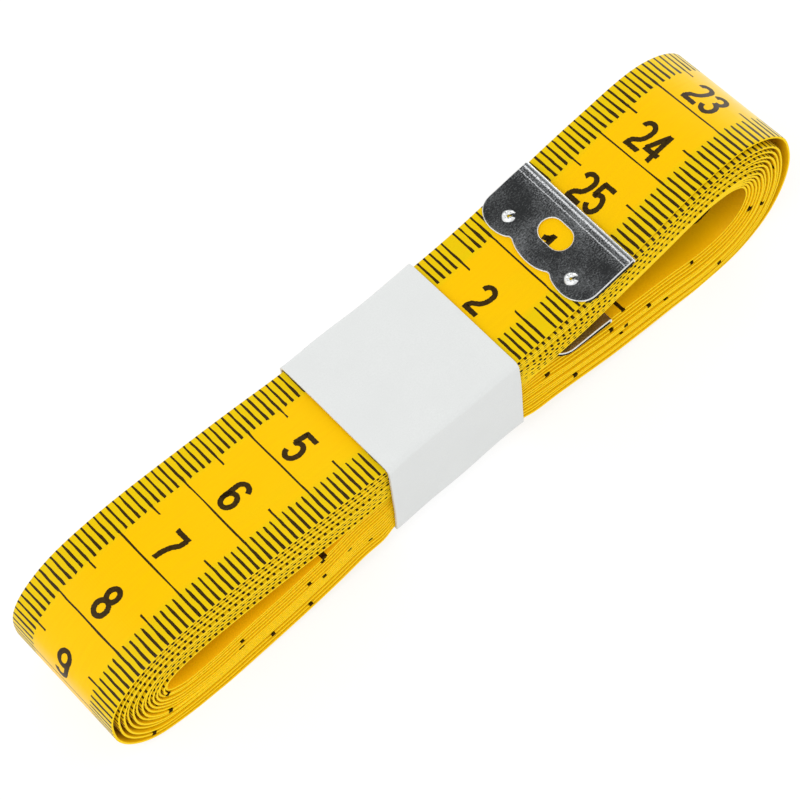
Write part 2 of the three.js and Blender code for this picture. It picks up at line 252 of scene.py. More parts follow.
# turns counted along the whole path, for the sideways shift of the layers
t_free = np.interp(-free[:, 0], -RAILS[:8, 1], RAILS[:8, 0])
t_in = 13 + np.interp(inner[:, 0], RAILS[36:46, 1], RAILS[36:46, 0])
T_PATH = np.concatenate([t_free, t_roll, t_in])
ALONG = np.concatenate([[0], np.cumsum(np.linalg.norm(np.diff(PATH, axis=0), axis=1))])
d = np.gradient(PATH, axis=0)
d /= np.linalg.norm(d, axis=1)[:, None]
for _ in range(3):  # even out the slope over a fraction of a millimetre
    d[1:-1] = (d[:-2] + 2 * d[1:-1] + d[2:]) / 4
d /= np.linalg.norm(d, axis=1)[:, None]
INWARD = np.stack([-d[:, 1], d[:, 0]], 1)  # towards the reverse face

# Where the printed scale falls along the path: readings of the scale and the place (x, z).
SCALE_AT = np.array(
    [
        [0, 28.92, 20.44],
        [10, 19.06, 18.91],
        [20, 9.07, 18.31],
        [30, -0.90, 18.13],
        [40, -10.88, 18.51],
        [50, -20.84, 19.31],
        [60, -30.83, 19.98],
        [70, -40.83, 20.25],
        [75, -45.83, 19.84],
        [80, -50.65, 18.54],
        [85, -54.62, 15.55],
        [89, -56.27, 11.97],
        [222, 55.01, 18.13],
        [225, 52.91, 20.25],
        [228, 50.27, 21.63],
        [231, 47.34, 22.25],
        [234, 44.34, 22.30],
        [237, 41.35, 22.05],
        [240, 38.37, 21.67],
        [243, 35.42, 21.18],
        [246, 32.49, 20.56],
        [249, 29.58, 19.83],
    ]
)
near = []
low = 0
for _, x, z in SCALE_AT:
    stop = int(np.searchsorted(T_PATH, 1.2))
    k = low + int(np.argmin(np.hypot(*(PATH[low:stop] - (x, z)).T)))
    near.append(k)
    low = k
near = np.array(near)
extra = 3300.0
S_KEYS = np.concatenate([SCALE_AT[:, 0], [SCALE_AT[-1, 0] + extra]])
A_KEYS = np.concatenate([ALONG[near], [ALONG[near[-1]] + extra]])
S_PATH = np.interp(ALONG, A_KEYS, S_KEYS)
S_PATH[: near[0]] = 0
S_END = float(S_PATH[-1])

# How far each layer's front edge has slipped towards the front, by place round the loop.
SLIP = {
    0.04: [0.04, 0.42, 0.40, 0.36, 0.22, 0.50, 0.66, 0.46, 0.62, 0.41, 0.50, 0.58, 0.42, 0.2],
    0.23: [0.15, 0.22, 0.32, 0.16, 0.30, 0.14, 0.38, 0.22, 0.16, 0.22, 0.26, 0.08, 0.32, 0.12],
    0.355: [0.20, 0.22, 0.36, 0.15, 0.32, 0.15, 0.40, 0.20, 0.16, 0.24, 0.26, 0.05, 0.30, 0.1],
    0.47: [0.42, 0.36, 0.30, 0.24, 0.24, 0.22, 0.20, 0.18, 0.16, 0.06, -0.04, -0.12, -0.20, -0.2],
    0.72: [0.30, 0.22, 0.22, 0.10, 0.10, 0.10, -0.04, -0.04, -0.04, -0.18, -0.30, -0.40, -0.50, -0.5],
    0.862: [-0.08, 0.04, 0.15, 0.36, 0.30, 0.42, 0.34, 0.50, 0.40, 0.34, 0.24, 0.12, 0.03, 0.0],
    0.93: [-0.62, 0.01, 0.15, 0.39, 0.30, 0.43, 0.35, 0.61, 0.45, 0.35, 0.25, 0.12, 0.03, 0.0],
    0.995: [-0.46, 0.06, 0.20, 0.38, 0.30, 0.45, 0.42, 0.58, 0.48, 0.38, 0.32, 0.22, 0.12, 0.05],
}
keys = sorted((k + u, f) for u, row in SLIP.items() for k, f in enumerate(row))
kt, kf = np.array([a for a, _ in keys]), np.array([b for _, b in keys])
j = np.clip(np.searchsorted(kt, T_PATH, side="right") - 1, 0, len(kt) - 2)
F_PATH = kf[j] + (kf[j + 1] - kf[j]) * smooth((T_PATH - kt[j]) / (kt[j + 1] - kt[j]))
# inside the sleeve the edges are held in line
held = smooth((14.6 - np.abs(PATH[:, 0] + 1.4)) / 3.4)
below = np.abs((T_PATH % 1.0) - 0.6) < 0.25
in_line = np.where(below, np.clip(F_PATH, -0.2, 0.30), np.clip(0.62 * F_PATH + 0.015, -0.2, 0.28))
F_PATH = F_PATH * (1 - held) + in_line * held
# past the right end bend the layers lean: their front edges stand higher than their back edges
u_path, k_path = T_PATH % 1.0, np.floor(T_PATH)
LEAN = 0.067 * (1 - k_path / 13) * smooth((u_path - 0.84) / 0.07) * smooth((1.0 - u_path) / 0.05)


def on_tape(s, y, out=0.0):
    """Point of the strip at scale place s and width place y, out above the printed face."""
    s, y, out = np.broadcast_arrays(np.asarray(s, float), y, out)
    k = lambda col: np.interp(s, S_PATH, col)
    nx, nz = k(INWARD[:, 0]), k(INWARD[:, 1])
    x, z = k(PATH[:, 0]) - nx * out, k(PATH[:, 1]) - nz * out
    lean = -y * k(LEAN)
    return np.stack([x, y - k(F_PATH), z + lean], -1) * MM


# ---------------------------------------------------------------- mesh helpers
def new_object(name, verts, faces, material_list, index=None, uv=None, smooth_angle=40):
    mesh = bpy.data.meshes.new(name)
    mesh.from_pydata([tuple(v) for v in np.asarray(verts, float)], [], faces)
    for m in material_list:
        mesh.materials.append(m)
    if index is not None:
        mesh.polygons.foreach_set("material_index", np.asarray(index, np.int32))
    if uv is not None:
        layer = mesh.uv_layers.new(name="along")
        corner = np.zeros(len(mesh.loops), np.int32)
        mesh.loops.foreach_get("vertex_index", corner)
        layer.data.foreach_set("uv", np.asarray(uv, np.float32)[corner].ravel())
    mesh.polygons.foreach_set("use_smooth", np.ones(len(mesh.polygons), bool))
    mesh.set_sharp_from_angle(angle=math.radians(smooth_angle))
    mesh.validate()
    mesh.update()
    obj = bpy.data.objects.new(name, mesh)
    bpy.context.scene.collection.objects.link(obj)
    return obj


# ---------------------------------------------------------------- printed strip
FACE, INK, BACK, EDGE, RUN = 0, 1, 2, 3, 4
MARGIN = TAPE_HALF - 0.07  # the print stops just short of the cut edge
MM_TICK, FIVE_TICK = 5.45, 4.15
# half width of a tick at each width place: even, and pointed at its inner end
TICK_AT = np.array([0.0, 3.9, 4.15, 5.45, 5.75, 6.2, 6.9, 8.3, 9.0, 9.5])
TICK_MM = np.array([0.09, 0.09, 0.08, 0.10, 0.145, 0.17, 0.185, 0.195, 0.195, 0.19])
TICK_FIVE = np.array([0.125, 0.125, 0.13, 0.15, 0.155, 0.17, 0.185, 0.195, 0.195, 0.19])  # every fifth one
# the ticks along the back edge point the same way: fine at the cut edge and blunt at their inner end
BACK_MM = np.array([0.12, 0.12, 0.125, 0.195, 0.205, 0.20, 0.185, 0.155, 0.145, 0.135])
BACK_FIVE = np.array([0.12, 0.12, 0.125, 0.14, 0.19, 0.20, 0.185, 0.155, 0.145, 0.135])
CM_MM = 0.12  # half width of the line across at each centimetre


def between_ticks(v):
    """v, moved off the nearest tick's own two columns."""
    k = round(v)
    return v if abs(v - k) > 0.22 else k + math.copysign(0.23, v - k)


def strip(s0, s1, rows, between, marks=()):
    """A closed piece of the tape from s0 to s1. rows are the width places (negative half to positive)
    of the printed face, between the extra columns between two ticks, marks the ticks on the reverse, each
    with whether its ink has run over the cut edge."""
    rows = np.asarray(rows, float)
    nr = len(rows)
    cols, kinds = [], []  # scale place at the row's ticks, and which tick the column belongs to
    for k in range(int(math.floor(s0)), int(math.ceil(s1)) + 1):
        cols += [(k - 0.18, k, -1), (k + 0.18, k, 1)]
        cols += [(k + b, k, 0) for b in between]
    marks = [(between_ticks(a), between_ticks(b), over) for a, b, over in marks]
    for a, b, _ in marks:
        cols += [(a, None, 0), (b, None, 0)]
    cols = sorted((c for c in cols if s0 + 0.02 < c[0] < s1 - 0.02), key=lambda c: c[0])
    cols = [(s0, None, 0)] + cols + [(s1, None, 0)]
    nc = len(cols)
    base = np.array([c[0] for c in cols])
    side = np.array([c[2] for c in cols])
    s = np.repeat(base[:, None], nr, 1)
    y = np.repeat(rows[None], nc, 0)
    half = np.where(rows < 0, np.interp(-rows, TICK_AT, TICK_MM), np.interp(rows, TICK_AT, BACK_MM))
    tick = side != 0
    centre = np.array([c[1] if c[2] else 0 for c in cols], float)
    wander = rng.normal(0, 0.022, (nc, nr))
    wander[:, 1:] = 0.35 * wander[:, :-1] + wander[:, 1:]
    fifth = tick & (np.round(centre) % 5 == 0)
    half_five = np.where(rows < 0, np.interp(-rows, TICK_AT, TICK_FIVE), np.interp(rows, TICK_AT, BACK_FIVE))
    centimetre = tick & (np.round(centre) % 10 == 0)
    widths = np.where(fifth[:, None], half_five[None], half[None])
    widths = np.where(centimetre[:, None], np.maximum(widths, CM_MM), widths)
    s[tick] = centre[tick][:, None] + side[tick][:, None] * widths[tick] + wander[tick]
    # columns never cross
    for i in range(1, nc):
        s[i] = np.maximum(s[i], s[i - 1] + 0.012)
    s[-1] = s1
    # ragged inner ends of the ticks
    for r in range(nr):
        if 3.9 < abs(rows[r]) < 5.6:
            y[tick, r] += rng.normal(0, 0.07, tick.sum())
    out = np.where(np.abs(y) > TAPE_HALF - 0.01, -0.03, 0.0)
    top = on_tape(s, y, out)
    brows = np.array([-TAPE_HALF, -TAPE_HALF + 0.07, -7.6, 7.6, TAPE_HALF - 0.07, TAPE_HALF])
    nb = len(brows)
    bs, by = np.repeat(base[:, None], nb, 1), np.repeat(brows[None], nc, 0)
    bs[-1] = s1
    bottom = on_tape(bs, by, -CLOTH + np.where(np.abs(by) > TAPE_HALF - 0.01, 0.03, 0.0))
    verts = np.vstack([top.reshape(-1, 3), bottom.reshape(-1, 3)])
    uv = np.vstack(
        [np.stack([s, y], -1).reshape(-1, 2), np.stack([bs, by + 40], -1).reshape(-1, 2)]
    ) * 0.001
    T = np.arange(nc * nr).reshape(nc, nr)
    B = nc * nr + np.arange(nc * nb).reshape(nc, nb)
    faces, index = [], []
    y0, y1 = np.abs(rows[:-1]), np.abs(rows[1:])
    outer, innermost = np.maximum(y0, y1), np.minimum(y0, y1)
    in_print = outer <= TAPE_HALF + 0.01
    reach = {
        "mm": in_print & (innermost >= MM_TICK - 0.01),
        "five": in_print & (innermost >= FIVE_TICK - 0.01),
        "cm": in_print,
    }
    for i in range(nc - 1):
        inked = None
        if side[i] == -1 and side[i + 1] == 1 and cols[i][1] == cols[i + 1][1]:
            k = cols[i][1]
            inked = reach["cm" if k % 10 == 0 else "five" if k % 5 == 0 else "mm"]
        for r in range(nr - 1):
            faces.append((T[i, r], T[i, r + 1], T[i + 1, r + 1], T[i + 1, r]))
            index.append(INK if inked is not None and inked[r] else FACE)
        mid = (base[i] + base[i + 1]) / 2
        dark = any(a - 1e-6 <= mid <= b + 1e-6 for a, b, _ in marks)
        over_edge = dark and any(a - 1e-6 <= mid <= b + 1e-6 and over for a, b, over in marks)
        for r in range(nb - 1):
            faces.append((B[i, r], B[i + 1, r], B[i + 1, r + 1], B[i, r + 1]))
            index.append(RUN if dark and r != 2 and (over_edge or 0 < r < nb - 2) else BACK)
        faces.append((T[i, 0], T[i + 1, 0], B[i + 1, 0], B[i, 0]))
        faces.append((T[i, -1], B[i, -1], B[i + 1, -1], T[i + 1, -1]))
        index += [RUN if over_edge else EDGE] * 2
    faces.append([*T[0][::-1], *B[0]])
    faces.append([*T[-1], *B[-1][::-1]])
    index += [EDGE, EDGE]
    faces = [tuple(int(v) for v in f) for f in faces]
    return verts, faces, index, uv


# ---------------------------------------------------------------- numerals
def arc(cx, cy, rx, ry, a0, a1, n=28):
    a = np.radians(np.linspace(a0, a1, n))
    return np.stack([cx + rx * np.cos(a), cy + ry * np.sin(a)], 1)


def pts(*p):
    return np.array(p, float)


# Middle lines of the strokes: x to the right, y up, about 1.8 wide and 4.0 high.
DIGITS = {
    "0": [np.vstack([arc(0, 1.1, 0.86, 0.92, 0, 180), arc(0, -1.1, 0.86, 0.92, 180, 360), pts([0.86, 1.25])])],
    "1": [
        pts([0.35, -2.35], [0.35, 2.35]),
        pts([-0.80, 1.18], [-0.25, 1.38], [0.1, 1.70], [0.3, 2.15]),
        pts([-0.45, 1.30], [0.0, 1.42], [0.3, 1.50]),
    ],
    "2": [
        np.vstack(
            [
                arc(0, 1.12, 0.86, 0.89, 178, -12),
                arc(-1.05, 0.95, 1.9, 2.2, -4, -46, 10),
                pts([-0.5, -1.15], [-0.82, -1.75]),
            ]
        ),
        pts([-1.15, -2.01], [1.2, -2.01]),
    ],
    "3": [
        np.vstack([arc(0, 1.1, 0.84, 0.91, 172, -62), pts([-0.12, 0.22])]),
        np.vstack([pts([-0.12, 0.22]), arc(0, -0.98, 0.9, 1.06, 66, -174)]),
    ],
    "4": [pts([0.5, -2.35], [0.5, 2.2]), pts([0.42, 2.1], [-0.96, -0.9]), pts([-1.2, -1.02], [1.22, -1.02])],
    "5": [
        pts([-0.95, 2.01], [1.1, 2.01]),
        pts([-0.66, 2.1], [-0.84, 0.1]),
        np.vstack([pts([-0.84, 0.25]), arc(0.0, -0.72, 0.88, 1.28, 138, -158)]),
    ],
    "6": [
        np.vstack([arc(0, 1.1, 0.86, 0.92, 14, 180), arc(0, -1.0, 0.86, 1.02, 180, 200)]),
        arc(0, -0.92, 0.88, 1.1, 165, 535, 44),
    ],
    "7": [pts([-1.12, 2.01], [1.16, 2.01]), np.vstack([pts([0.92, 1.85]), arc(2.35, -2.3, 2.6, 3.9, 128, 181, 14)])],
    "8": [arc(0, 1.06, 0.74, 0.94, -92, 272, 40), arc(0, -0.97, 0.88, 1.05, 88, 452, 44)],
}
DIGITS["9"] = [-p for p in DIGITS["6"]]


def spaced(p, step):
    at = np.concatenate([[0], np.cumsum(np.linalg.norm(np.diff(p, axis=0), axis=1))])
    n = max(1, int(math.ceil(at[-1] / step)))
    q = np.linspace(0, at[-1], n + 1)
    return np.stack([np.interp(q, at, p[:, 0]), np.interp(q, at, p[:, 1])], 1)


def numerals(text, s_mid, y_mid, size=1.0, across=2.62, stroke=0.352, out=0.014, place=on_tape, flip=1):
    """Closed thin ribbons of ink for a number: tops towards smaller s, reading towards -y."""
    verts, faces, uv = [], [], []
    first = -(len(text) - 1) / 2
    for c, ch in enumerate(text):
        for line in DIGITS[ch]:
            q = spaced(line, 0.13) * (0.985, 1.0)
            q = q + rng.normal(0, 0.012, q.shape)
            t = np.gradient(q, axis=0)
            t /= np.maximum(np.linalg.norm(t, axis=1), 1e-9)[:, None]
            n = np.stack([-t[:, 1], t[:, 0]], 1)
            w = stroke * (1 + rng.normal(0, 0.035, len(q)))
            ring = []
            for f, o in ((-1, out), (-0.33, out), (0.33, out), (1, out), (1, -0.05), (-1, -0.05)):
                p = (q + n * (w * f)[:, None]) * size
                gx = p[:, 0] + (first + c) * across * size
                s, y = s_mid - p[:, 1], y_mid - gx * flip
                ring.append(place(s, y, o))
                uv.append(np.stack([s, y], 1) * 0.001)
            start = sum(len(v) for v in verts)
            m = len(q)
            verts.append(np.concatenate(ring))
            idx = start + np.arange(6 * m).reshape(6, m)
            for i in range(m - 1):
                for r in range(6):
                    a, b = idx[r], idx[(r + 1) % 6]
                    f = (int(a[i]), int(a[i + 1]), int(b[i + 1]), int(b[i]))
                    faces.append(f if flip > 0 else f[::-1])
            for e in (0, m - 1):
                f = tuple(int(idx[r][e]) for r in range(6))
                faces.append(f[::-1] if (e == m - 1) == (flip > 0) else f)
    return np.vstack(verts), faces, np.vstack(uv)


def blots(s, half, low, high):
    """Ink run over the cut edge at both sides of the strip: small closed pads, from low to high above
    the printed face."""
    verts, faces, uv = [], [], []
    for side in (-1, 1):
        ring = []
        for y in (TAPE_HALF - 0.05, TAPE_HALF + 0.03):
            for u, o in ((-half, low), (half * 0.86, low - 0.02), (half, high), (-half * 0.9, high + 0.02)):
                place = s + u + rng.normal(0, 0.015) + 0.04 * (o > (low + high) / 2)
                ring.append(on_tape(place, side * y, o + rng.normal(0, 0.012)))
                uv.append([place * 0.001, side * y * 0.001])
        n = len(verts)
        verts += ring
        box = [(0, 1, 2, 3), (7, 6, 5, 4), (0, 4, 5, 1), (1, 5, 6, 2), (2, 6, 7, 3), (3, 7, 4, 0)]
        faces += [tuple(n + i for i in (f if side < 0 else f[::-1])) for f in box]
    return np.array(verts), faces, [RUN] * len(faces), np.array(uv)


def joined(parts):
    """One mesh of several (verts, faces, index, uv)."""
    verts, faces, index, uv, n = [], [], [], [], 0
    for v, f, i, t in parts:
        verts.append(v)
        faces += [tuple(a + n for a in g) for g in f]
        index += list(i)
        uv.append(t)
        n += len(v)
    return np.vstack(verts), faces, index, np.vstack(uv)


def on_reverse(s, y, out=0.0):
    return on_tape(s, y, -CLOTH - out)


def with_numbers(base, numbers):
    parts = [base]
    for text, s_mid, y_mid, front in numbers:
        if front:
            v, f, t = numerals(text, s_mid, y_mid)
        else:
            v, f, t = numerals(text, s_mid, y_mid, place=on_reverse, flip=-1)
        parts.append((v, f, [INK] * len(f), t))
    return joined(parts)


# ---------------------------------------------------------------- materials
def nodes_of(name):
    m = bpy.data.materials.new(name)
    m.use_nodes = True
    t = m.node_tree
    return m, t, t.nodes["Principled BSDF"]


def add(t, kind, inputs=(), **settings):
    n = t.nodes.new(kind)
    for k, v in settings.items():
        setattr(n, k, v)
    for k, v in dict(inputs).items():
        if isinstance(v, bpy.types.NodeSocket):
            t.links.new(v, n.inputs[k])
        else:
            n.inputs[k].default_value = v
    return n


def calc(t, op, a, b=0.0, c=0.0, clamp=False):
    return add(t, "ShaderNodeMath", {0: a, 1: b, 2: c}, operation=op, use_clamp=clamp).outputs[0]


def ramp(t, value, *stops):
    n = add(t, "ShaderNodeValToRGB", {0: value})
    e = n.color_ramp.elements
    while len(e) < len(stops):
        e.new(0.5)
    for el, (at, colour) in zip(e, stops):
        el.position = at
        el.color = (*colour, 1) if len(colour) == 3 else colour
    return n.outputs[0]


def mixed(t, factor, a, b, blend="MIX"):
    n = add(t, "ShaderNodeMix", data_type="RGBA", blend_type=blend)
    for k, v in ((0, factor), (6, a), (7, b)):
        if isinstance(v, bpy.types.NodeSocket):
            t.links.new(v, n.inputs[k])
        else:
            n.inputs[k].default_value = (*v, 1) if isinstance(v, tuple) and len(v) == 3 else v
    return n.outputs[2]


def along_uv(t, sx, sy):
    uv = add(t, "ShaderNodeUVMap", uv_map="along").outputs[0]
    return add(t, "ShaderNodeMapping", {0: uv, 3: (sx, sy, 1)}).outputs[0]


def noise(t, vector, scale=1.0, detail=3.0, rough=0.55, out=0):
    return add(
        t, "ShaderNodeTexNoise", {"Vector": vector, "Scale": scale, "Detail": detail, "Roughness": rough}
    ).outputs[out]


def spread(t, value, lo, hi, to_lo=0.0, to_hi=1.0):
    return add(
        t, "ShaderNodeMapRange", {0: value, 1: lo, 2: hi, 3: to_lo, 4: to_hi}
    ).outputs[0]


def srgb(r, g, b):
    f = lambda v: v / 12.92 if v <= 0.04045 else ((v + 0.055) / 1.055) ** 2.4
    return tuple(f(v / 255) for v in (r, g, b))


def cloth_print(name, middle, border, dark, rough, coat=0.0, painted_shade=None, sheen=0.0, pale=()):
    """The coated cloth with its faint lengthwise streaks and the weave just showing through."""
    m, t, p = nodes_of(name)
    uv = add(t, "ShaderNodeUVMap", uv_map="along").outputs[0]
    y = add(t, "ShaderNodeSeparateXYZ", {0: uv}).outputs[1]
    side = spread(t, calc(t, "ABSOLUTE", y), 0.0049, 0.0058)
    streak = noise(t, along_uv(t, 260, 2600), detail=4)
    cloud = noise(t, along_uv(t, 60, 120), detail=2)
    fine = noise(t, along_uv(t, 5200, 5200), detail=2)
    colour = mixed(t, side, middle, border)
    colour = mixed(t, spread(t, streak, 0.35, 0.8, 0.0, 0.5), colour, dark)
    colour = mixed(t, spread(t, cloud, 0.45, 0.75, 0.0, 0.35), colour, border)
    if pale:
        # painted sheen: the crests of the two end bends are painted a whitish pale, standing in for light glancing off
        # the coating there
        x = add(t, "ShaderNodeSeparateXYZ", {0: uv}).outputs[0]
        for a0, a1, b0, b1, power in pale:
            wear_and_sheen = calc(t, "MULTIPLY", spread(t, x, a0, a1), spread(t, x, b1, b0))
            wear_and_sheen = calc(t, "MULTIPLY", wear_and_sheen, spread(t, cloud, 0.3, 0.6, 0.7 * power, power))
            colour = mixed(t, wear_and_sheen, colour, srgb(226, 214, 158))
    if painted_shade:
        # painted shade: the reverse is darker away from its edges, and darkest round the tightest bends
        far = calc(t, "SUBTRACT", 0.0095, calc(t, "ABSOLUTE", calc(t, "SUBTRACT", y, 0.040)))
        colour = mixed(t, spread(t, far, 0.0002, 0.0028), colour, painted_shade[0])
        x = add(t, "ShaderNodeSeparateXYZ", {0: uv}).outputs[0]
        bend = calc(t, "MULTIPLY", spread(t, x, painted_shade[2], painted_shade[3]), spread(t, x, painted_shade[4] + 0.008, painted_shade[4]))
        colour = mixed(t, calc(t, "MULTIPLY", bend, 0.85), colour, painted_shade[1])
    t.links.new(colour, p.inputs["Base Color"])
    weft = add(
        t, "ShaderNodeTexWave", {"Vector": along_uv(t, 1, 1), "Scale": 900.0, "Distortion": 0.6, "Detail": 1.0},
        wave_type="BANDS", bands_direction="X",
    ).outputs[1]
    warp = add(
        t, "ShaderNodeTexWave", {"Vector": along_uv(t, 1, 1), "Scale": 900.0, "Distortion": 0.6, "Detail": 1.0},
        wave_type="BANDS", bands_direction="Y",
    ).outputs[1]
    weave = calc(t, "MULTIPLY", weft, warp)
    height = calc(t, "ADD", calc(t, "MULTIPLY", weave, 0.35), calc(t, "MULTIPLY", streak, 0.6))
    height = calc(t, "ADD", height, calc(t, "MULTIPLY", fine, 0.25))
    t.links.new(spread(t, calc(t, "ADD", streak, calc(t, "MULTIPLY", fine, 0.5)), 0.5, 1.1, rough, rough + 0.13), p.inputs["Roughness"])
    bumped = add(t, "ShaderNodeBump", {"Strength": 0.35, "Distance": 0.00003, "Height": height})
    t.links.new(bumped.outputs[0], p.inputs["Normal"])
    p.inputs["IOR"].default_value = 1.46
    p.inputs["Specular IOR Level"].default_value = 0.09
    p.inputs["Sheen Weight"].default_value = sheen
    p.inputs["Sheen Roughness"].default_value = 0.22
    if coat:
        p.inputs["Coat Weight"].default_value = coat
        p.inputs["Coat Roughness"].default_value = 0.22
    return m


BEND_SHADE = [float(np.interp(t, T_PATH, S_PATH)) * 0.001 for t in (12.80, 12.87, 12.99)]
# the printed face gets a painted sheen over the crests of the two end bends
yellow = cloth_print("tape_printed_face", srgb(242, 190, 0), srgb(223, 192, 5), srgb(238, 180, 0), 0.34, sheen=0.16,
    pale=((0.2170, 0.2195, 0.2224, 0.2262, 0.55), (0.0870, 0.0892, 0.0910, 0.0940, 0.14)),
)
# the reverse gets painted shade away from its edges and round the tightest inner bend
reverse = cloth_print(
    "tape_reverse_face", srgb(250, 190, 0), srgb(248, 190, 0), srgb(242, 178, 0), 0.38,
    painted_shade=(srgb(225, 179, 0), srgb(168, 118, 0), *BEND_SHADE),
)


def ink_material():
    m, t, p = nodes_of("printing_ink")
    fine = noise(t, along_uv(t, 3000, 3000), detail=4)
    wear_and_sheen = noise(t, along_uv(t, 900, 900), detail=5, rough=0.65)
    colour = ramp(t, fine, (0.3, srgb(44, 30, 2)), (0.62, srgb(58, 41, 4)), (0.8, srgb(78, 58, 6)))
    colour = mixed(t, spread(t, wear_and_sheen, 0.66, 0.80, 0, 0.4), colour, srgb(116, 90, 8))
    p.inputs["Specular IOR Level"].default_value = 0.16
    t.links.new(colour, p.inputs["Base Color"])
    t.links.new(spread(t, fine, 0.3, 0.7, 0.30, 0.46), p.inputs["Roughness"])
    bumped = add(t, "ShaderNodeBump", {"Strength": 0.3, "Distance": 0.00002, "Height": fine})
    t.links.new(bumped.outputs[0], p.inputs["Normal"])
    return m


def edge_material():
    """The cut edge: pale threads in the yellow coating."""
    m, t, p = nodes_of("tape_cut_edge")
    thread = noise(t, along_uv(t, 900, 400), detail=3, rough=0.5)
    cloud = noise(t, along_uv(t, 240, 240), detail=2)
    colour = ramp(t, thread, (0.25, srgb(240, 197, 0)), (0.5, srgb(246, 208, 2)), (0.75, srgb(249, 216, 16)))
    colour = mixed(t, spread(t, cloud, 0.4, 0.7, 0, 0.4), colour, srgb(250, 204, 0))
    p.inputs["Specular IOR Level"].default_value = 0.1
    t.links.new(colour, p.inputs["Base Color"])
    t.links.new(spread(t, thread, 0.3, 0.7, 0.55, 0.8), p.inputs["Roughness"])
    bumped = add(t, "ShaderNodeBump", {"Strength": 0.3, "Distance": 0.00003, "Height": thread})
    t.links.new(bumped.outputs[0], p.inputs["Normal"])
    return m


def run_ink_material():
    """Where the ink has soaked into the cut edge: darker and quite dull."""
    m, t, p = nodes_of("ink_in_the_edge")
    fine = noise(t, along_uv(t, 5200, 5200), detail=4)
    t.links.new(ramp(t, fine, (0.3, srgb(40, 25, 3)), (0.7, srgb(66, 44, 7))), p.inputs["Base Color"])
    t.links.new(spread(t, fine, 0.3, 0.7, 0.8, 0.95), p.inputs["Roughness"])
    p.inputs["Specular IOR Level"].default_value = 0.02
    bumped = add(t, "ShaderNodeBump", {"Strength": 0.3, "Distance": 0.00002, "Height": fine})
    t.links.new(bumped.outputs[0], p.inputs["Normal"])
    return m


ink = ink_material()
cut_edge = edge_material()
CLOTH_SLOTS = [yellow, ink, reverse, cut_edge, run_ink_material()]


def metal_material(name, dark, light, rough, speck=0.5, fold_sheen_and_scuffs=True):
    """Thin plated sheet: brushed and finely speckled; optionally with a painted sheen towards the fold and painted
    highlight lines beside it, partly scuffs.
    """
    m, t, p = nodes_of(name)
    uv = add(t, "ShaderNodeUVMap", uv_map="along").outputs[0]
    place = add(t, "ShaderNodeSeparateXYZ", {0: uv})
    a, b = place.outputs[0], place.outputs[1]
    grain = noise(t, along_uv(t, 2600, 5200), detail=4, rough=0.6)
    dots = noise(t, along_uv(t, 5200, 5200), detail=3, rough=0.7)
    cloud = noise(t, along_uv(t, 210, 260), detail=3)
    both = calc(t, "ADD", calc(t, "MULTIPLY", grain, 0.4), calc(t, "MULTIPLY", dots, 0.6))
    both = calc(t, "ADD", both, calc(t, "MULTIPLY", calc(t, "SUBTRACT", cloud, 0.5), 0.46))
    if fold_sheen_and_scuffs:
        # painted sheen: lighter near the fold and on the lobes, darkest between
        near_fold = spread(t, a, -0.0036, -0.0004, 0.0, 0.085)
        both = calc(t, "ADD", both, near_fold)
        both = calc(t, "ADD", both, spread(t, a, -0.0050, -0.0085, 0.0, 0.045))
        both = calc(t, "SUBTRACT", both, spread(t, b, 0.0030, 0.0075, 0.0, 0.035))
    colour = mixed(t, spread(t, both, 0.46, 0.74), dark, light)
    wear_and_sheen = None
    if fold_sheen_and_scuffs:
        # painted highlights: a pale band on the fold, white glints beside it, and broken bright lines along it
        band = calc(t, "MULTIPLY", spread(t, a, -0.00012, 0.00002), spread(t, a, 0.0005, 0.0003))
        colour = mixed(t, calc(t, "MULTIPLY", band, spread(t, grain, 0.3, 0.6, 0.7, 0.95)), colour, srgb(186, 190, 192))
        speckled = calc(t, "MULTIPLY", spread(t, a, -0.0026, -0.0009), spread(t, a, -0.0002, -0.0004))
        colour = mixed(t, calc(t, "MULTIPLY", speckled, spread(t, dots, 0.50, 0.60, 0.0, 0.7)), colour, srgb(222, 225, 228))
        for at, width, power in ((-0.00034, 0.00022, 1.0), (-0.00115, 0.00011, 0.75), (0.00042, 0.00016, 1.0)):
            near_it = spread(t, calc(t, "ABSOLUTE", calc(t, "SUBTRACT", a, at)), 0.25 * width, width, power, 0.0)
            broken = spread(t, dots, 0.40, 0.47) if at < 0 else spread(t, grain, 0.30, 0.45, 0.5, 1.0)
            line = calc(t, "MULTIPLY", near_it, broken)
            colour = mixed(t, line, colour, srgb(236, 238, 240))
            if at < 0:
                wear_and_sheen = line if wear_and_sheen is None else calc(t, "MAXIMUM", wear_and_sheen, line)
    t.links.new(colour, p.inputs["Base Color"])
    if wear_and_sheen is None:
        p.inputs["Metallic"].default_value = 1.0
    else:  # painted highlight lines, partly scuffs: the metal is turned off along them so they stay near white
        t.links.new(calc(t, "SUBTRACT", 1.0, calc(t, "MULTIPLY", wear_and_sheen, 0.85)), p.inputs["Metallic"])
    t.links.new(spread(t, both, 0.45, 0.8, rough, rough + 0.16), p.inputs["Roughness"])
    bumped = add(t, "ShaderNodeBump", {"Strength": speck, "Distance": 0.00003, "Height": both})
    t.links.new(bumped.outputs[0], p.inputs["Normal"])
    return m


tip_face = metal_material("tip_sheet", srgb(86, 88, 89), srgb(181, 184, 186), 0.30)
# painted highlight: a near-white metal for the plate's rims and the crimps, so they read as catching the light
tip_rim = metal_material("tip_rim_painted_highlight", srgb(222, 224, 224), srgb(250, 250, 250), 0.30, 0.2, False)
# painted reflection: the warm brownish tone stands in for the yellow tape reflected in the inner tip
inner_tip_face = metal_material("inner_tip_sheet", srgb(132, 126, 112), srgb(206, 202, 194), 0.34, 0.5, False)


